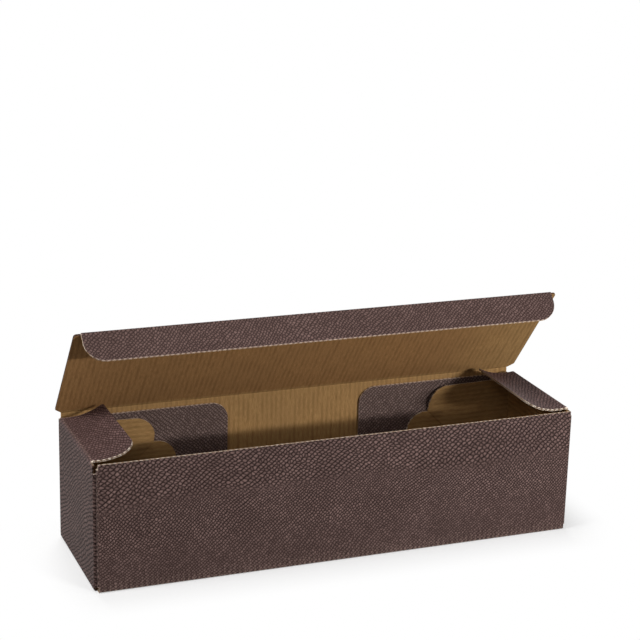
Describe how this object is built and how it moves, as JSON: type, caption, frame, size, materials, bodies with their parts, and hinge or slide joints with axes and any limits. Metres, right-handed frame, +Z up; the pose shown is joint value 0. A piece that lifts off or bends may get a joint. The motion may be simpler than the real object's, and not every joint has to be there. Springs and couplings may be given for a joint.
{
  "type": "bottle gift box",
  "caption": "Long folded card box for a lying bottle, with a hinged lid, a tuck flap along its front edge and dust flaps at both ends",
  "frame": {"origin": "middle of the underside, on the surface that the box stands on", "axes": "+Z up, +X along the length to the right as seen from the front, -Y towards the front"},
  "size_m": [0.344, 0.1, 0.163],
  "materials": {
    "tray_card": "dark brown print with a fine reptile grain outside, bare kraft inside",
    "lid_card": "dark brown print with a fine reptile grain outside, bare kraft inside"
  },
  "bodies": {
    "box": {"tray": "tray_card"},
    "lid": {"lid": "lid_card"},
    "tuck": {"tuck_flap": "lid_card"},
    "left_flap": {"left_dust_flap": "lid_card"},
    "right_flap": {"right_dust_flap": "lid_card"}
  },
  "joints": [
    {"name": "lid_crease", "type": "hinge", "parent": "box", "child": "lid", "pos_m": [0, 0.04935, 0.08895], "axis": [-1, 0, 0], "range_deg": [-51, 129]},
    {"name": "tuck_crease", "type": "hinge", "parent": "lid", "child": "tuck", "pos_m": [0, -0.01012, 0.16239], "axis": [-1, 0, 0], "range_deg": [-6, 98]},
    {"name": "left_flap_crease", "type": "hinge", "parent": "box", "child": "left_flap", "pos_m": [-0.16935, 0, 0.08725], "axis": [0, -1, 0], "range_deg": [-15, 38]},
    {"name": "right_flap_crease", "type": "hinge", "parent": "box", "child": "right_flap", "pos_m": [0.16935, 0, 0.08725], "axis": [0, 1, 0], "range_deg": [-11, 28]}
  ],
  "couplings": [
    {"joint": "left_flap_crease", "follows": "lid_crease", "ratio": 0.2941},
    {"joint": "right_flap_crease", "follows": "lid_crease", "ratio": 0.2156}
  ]
}
